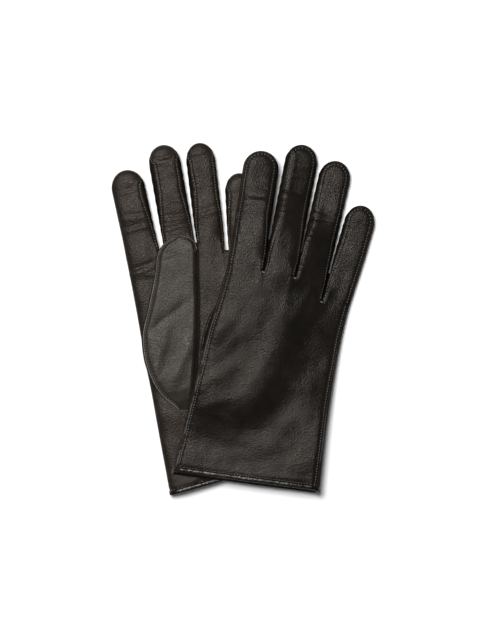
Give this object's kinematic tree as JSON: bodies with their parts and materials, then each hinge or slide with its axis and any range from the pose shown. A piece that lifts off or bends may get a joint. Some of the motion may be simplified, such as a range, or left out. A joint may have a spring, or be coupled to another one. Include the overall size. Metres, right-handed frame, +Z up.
{
  "type": "pair of dress gloves",
  "caption": "Pair of lined leather dress gloves laid flat in a fan, the left one palm up with its thumb folded over and the right one palm down on top of it.",
  "frame": {"origin": "The middle of the pair's footprint, at the level of the surface it lies on.", "axes": "+Z is up, away from the surface. +Y runs from the cuffs towards the fingertips, between the two fanned gloves. +X points to the right glove's little finger side."},
  "size_m": [0.1963, 0.2646, 0.026],
  "materials": {
    "back_leather": "smooth semi-matte black nappa leather with a fine grain",
    "palm_leather": "smooth dark brown-black nappa leather, softly creased",
    "binding_leather": "narrow folded black leather strip",
    "lining_knit": "fine dark grey knitted lining"
  },
  "bodies": {
    "left_hand": {"left_back_panel": "back_leather", "left_palm_panel": "palm_leather", "left_hand_lining": "lining_knit", "left_cuff_binding": "binding_leather", "left_thumb_base": "palm_leather", "left_index_middle_gusset": "back_leather", "left_middle_ring_gusset": "back_leather", "left_ring_little_gusset": "back_leather", "left_little_back": "back_leather", "left_little_palm": "palm_leather", "left_little_lining": "lining_knit", "left_little_fourchette_inner": "back_leather"},
    "right_hand": {"right_back_panel": "back_leather", "right_palm_panel": "palm_leather", "right_hand_lining": "lining_knit", "right_cuff_binding": "binding_leather", "right_thumb_base": "palm_leather", "right_index_middle_gusset": "back_leather", "right_middle_ring_gusset": "back_leather", "right_ring_little_gusset": "back_leather"},
    "right_thumb": {"right_thumb_sleeve": "palm_leather", "right_thumb_lining": "lining_knit"},
    "right_index_finger": {"right_index_back": "back_leather", "right_index_palm": "palm_leather", "right_index_lining": "lining_knit", "right_index_fourchette_outer": "back_leather"},
    "right_middle_finger": {"right_middle_back": "back_leather", "right_middle_palm": "palm_leather", "right_middle_lining": "lining_knit", "right_middle_fourchette_inner": "back_leather", "right_middle_fourchette_outer": "back_leather"},
    "right_ring_finger": {"right_ring_back": "back_leather", "right_ring_palm": "palm_leather", "right_ring_lining": "lining_knit", "right_ring_fourchette_inner": "back_leather", "right_ring_fourchette_outer": "back_leather"},
    "right_little_finger": {"right_little_back": "back_leather", "right_little_palm": "palm_leather", "right_little_lining": "lining_knit", "right_little_fourchette_inner": "back_leather"},
    "left_thumb": {"left_thumb_sleeve": "palm_leather", "left_thumb_lining": "lining_knit"},
    "left_index_finger": {"left_index_back": "back_leather", "left_index_palm": "palm_leather", "left_index_lining": "lining_knit", "left_index_fourchette_outer": "back_leather"},
    "left_middle_finger": {"left_middle_back": "back_leather", "left_middle_palm": "palm_leather", "left_middle_lining": "lining_knit", "left_middle_fourchette_inner": "back_leather", "left_middle_fourchette_outer": "back_leather"},
    "left_ring_finger": {"left_ring_back": "back_leather", "left_ring_palm": "palm_leather", "left_ring_lining": "lining_knit", "left_ring_fourchette_inner": "back_leather", "left_ring_fourchette_outer": "back_leather"}
  },
  "joints": [
    {"name": "right_glove_lift", "type": "slide", "parent": "left_hand", "child": "right_hand", "axis": [0, 0, 1], "range_m": [0, 0.09]},
    {"name": "left_index_bend", "type": "hinge", "parent": "left_hand", "child": "left_index_finger", "pos_m": [-0.07659, 0.05652, 0.0075], "axis": [0.9763, 0.2164, 0], "range_deg": [0, 60]},
    {"name": "left_middle_bend", "type": "hinge", "parent": "left_hand", "child": "left_middle_finger", "pos_m": [-0.04893, 0.06262, 0.0075], "axis": [0.9848, 0.1736, 0], "range_deg": [0, 60]},
    {"name": "left_ring_bend", "type": "hinge", "parent": "left_hand", "child": "left_ring_finger", "pos_m": [-0.02511, 0.06472, 0.0075], "axis": [0.9928, 0.1201, 0], "range_deg": [0, 60]},
    {"name": "right_index_bend", "type": "hinge", "parent": "right_hand", "child": "right_index_finger", "pos_m": [0.00601, 0.06554, 0.0245], "axis": [0.9862, -0.1562, 0.0557], "range_deg": [0, 40]},
    {"name": "right_middle_bend", "type": "hinge", "parent": "right_hand", "child": "right_middle_finger", "pos_m": [0.03215, 0.06137, 0.0221], "axis": [0.9565, -0.1859, -0.2248], "range_deg": [0, 40]},
    {"name": "right_ring_bend", "type": "hinge", "parent": "right_hand", "child": "right_ring_finger", "pos_m": [0.05513, 0.05163, 0.01219], "axis": [0.8617, -0.1989, -0.4668], "range_deg": [0, 35]},
    {"name": "right_little_bend", "type": "hinge", "parent": "right_hand", "child": "right_little_finger", "pos_m": [0.07744, 0.03934, 0.0075], "axis": [0.9602, -0.279, -0.0095], "range_deg": [0, 40]},
    {"name": "left_thumb_bend", "type": "hinge", "parent": "left_hand", "child": "left_thumb", "pos_m": [-0.05428, -0.00716, 0.0143], "axis": [0.9763, 0.2164, 0], "range_deg": [0, 60]},
    {"name": "right_thumb_swing", "type": "hinge", "parent": "right_hand", "child": "right_thumb", "pos_m": [-0.0214, 0.00264, 0.013], "axis": [0, 0, 1], "range_deg": [0, 10]}
  ]
}
